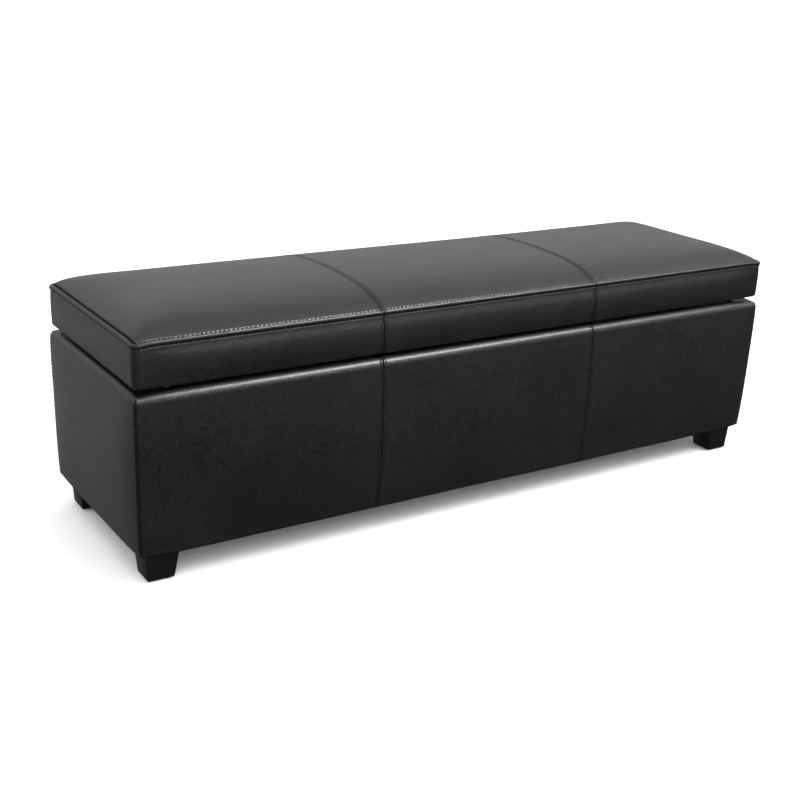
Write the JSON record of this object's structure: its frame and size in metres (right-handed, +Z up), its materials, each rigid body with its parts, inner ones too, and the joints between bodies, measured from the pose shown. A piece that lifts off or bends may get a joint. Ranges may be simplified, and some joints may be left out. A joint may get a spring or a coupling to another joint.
{
  "type": "storage bench",
  "caption": "Long upholstered storage bench: a padded box on short tapered feet, with a crowned padded lid that hinges at the back and is held open by folding stays.",
  "frame": {"origin": "on the floor, under the middle of the whole bench's box, its hinge included", "axes": "+X along the length to the right as seen from the front, -Y to the front, +Z up"},
  "size_m": [1.3, 0.407, 0.427],
  "materials": {
    "black_leather": "satin",
    "black_wood": "satin",
    "chipboard": "matte",
    "pine": "matte",
    "foam": "matte",
    "black_cloth": "matte",
    "black_felt": "matte",
    "zinc_steel": "satin",
    "black_rubber": "matte"
  },
  "bodies": {
    "box": {"front_board": "chipboard", "back_board": "chipboard", "left_end_board": "chipboard", "right_end_board": "chipboard", "bottom_board": "chipboard", "corner_block_front_left": "pine", "corner_block_front_right": "pine", "corner_block_back_left": "pine", "corner_block_back_right": "pine", "front_padding": "foam", "back_padding": "foam", "left_end_padding": "foam", "right_end_padding": "foam", "front_cover_left": "black_leather", "front_cover_centre": "black_leather", "front_cover_right": "black_leather", "left_end_cover": "black_leather", "right_end_cover": "black_leather", "back_cover": "black_leather", "box_lining": "black_cloth", "dust_cover": "black_cloth", "foot_front_left": "black_wood", "foot_front_right": "black_wood", "foot_back_left": "black_wood", "foot_back_right": "black_wood", "foot_bolt_front_left": "zinc_steel", "foot_bolt_front_right": "zinc_steel", "foot_bolt_back_left": "zinc_steel", "foot_bolt_back_right": "zinc_steel", "foot_glide_front_left": "black_felt", "foot_glide_front_right": "black_felt", "foot_glide_back_left": "black_felt", "foot_glide_back_right": "black_felt", "piano_hinge_box_leaf": "zinc_steel", "piano_hinge_pin": "zinc_steel", "stay_box_bracket_left": "zinc_steel", "stay_box_bracket_right": "zinc_steel"},
    "lid": {"lid_board": "chipboard", "seat_foam": "foam", "lid_lining": "black_cloth", "top_cover_left": "black_leather", "top_cover_centre": "black_leather", "top_cover_right": "black_leather", "lid_front_band_left": "black_leather", "lid_front_band_centre": "black_leather", "lid_front_band_right": "black_leather", "lid_left_band": "black_leather", "lid_right_band": "black_leather", "lid_back_band": "black_leather", "bumper_left": "black_rubber", "bumper_right": "black_rubber", "piano_hinge_lid_leaf": "zinc_steel", "stay_lid_bracket_left": "zinc_steel", "stay_lid_bracket_right": "zinc_steel"},
    "left_lower_arm": {"stay_lower_arm_left": "zinc_steel", "stay_elbow_rivet_left": "zinc_steel"},
    "left_upper_arm": {"stay_upper_arm_left": "zinc_steel"},
    "right_lower_arm": {"stay_lower_arm_right": "zinc_steel", "stay_elbow_rivet_right": "zinc_steel"},
    "right_upper_arm": {"stay_upper_arm_right": "zinc_steel"}
  },
  "joints": [
    {"name": "lid_hinge", "type": "hinge", "parent": "box", "child": "lid", "pos_m": [0, 0.19998, 0.322], "axis": [-1, 0, 0], "range_deg": [0, 95]},
    {"name": "left_stay_box_pivot", "type": "hinge", "parent": "box", "child": "left_lower_arm", "pos_m": [-0.609, 0.13997, 0.197], "axis": [-1, 0, 0], "range_deg": [0, 95]},
    {"name": "left_stay_lid_pivot", "type": "hinge", "parent": "lid", "child": "left_upper_arm", "pos_m": [-0.6069, 0.07998, 0.308], "axis": [-1, 0, 0], "range_deg": [-95, 0]},
    {"name": "right_stay_box_pivot", "type": "hinge", "parent": "box", "child": "right_lower_arm", "pos_m": [0.609, 0.13997, 0.197], "axis": [-1, 0, 0], "range_deg": [0, 95]},
    {"name": "right_stay_lid_pivot", "type": "hinge", "parent": "lid", "child": "right_upper_arm", "pos_m": [0.6069, 0.07998, 0.308], "axis": [-1, 0, 0], "range_deg": [-95, 0]}
  ],
  "couplings": [
    {"joint": "left_stay_box_pivot", "follows": "lid_hinge", "ratio": 1},
    {"joint": "left_stay_lid_pivot", "follows": "lid_hinge", "ratio": -1},
    {"joint": "right_stay_box_pivot", "follows": "lid_hinge", "ratio": 1},
    {"joint": "right_stay_lid_pivot", "follows": "lid_hinge", "ratio": -1}
  ]
}
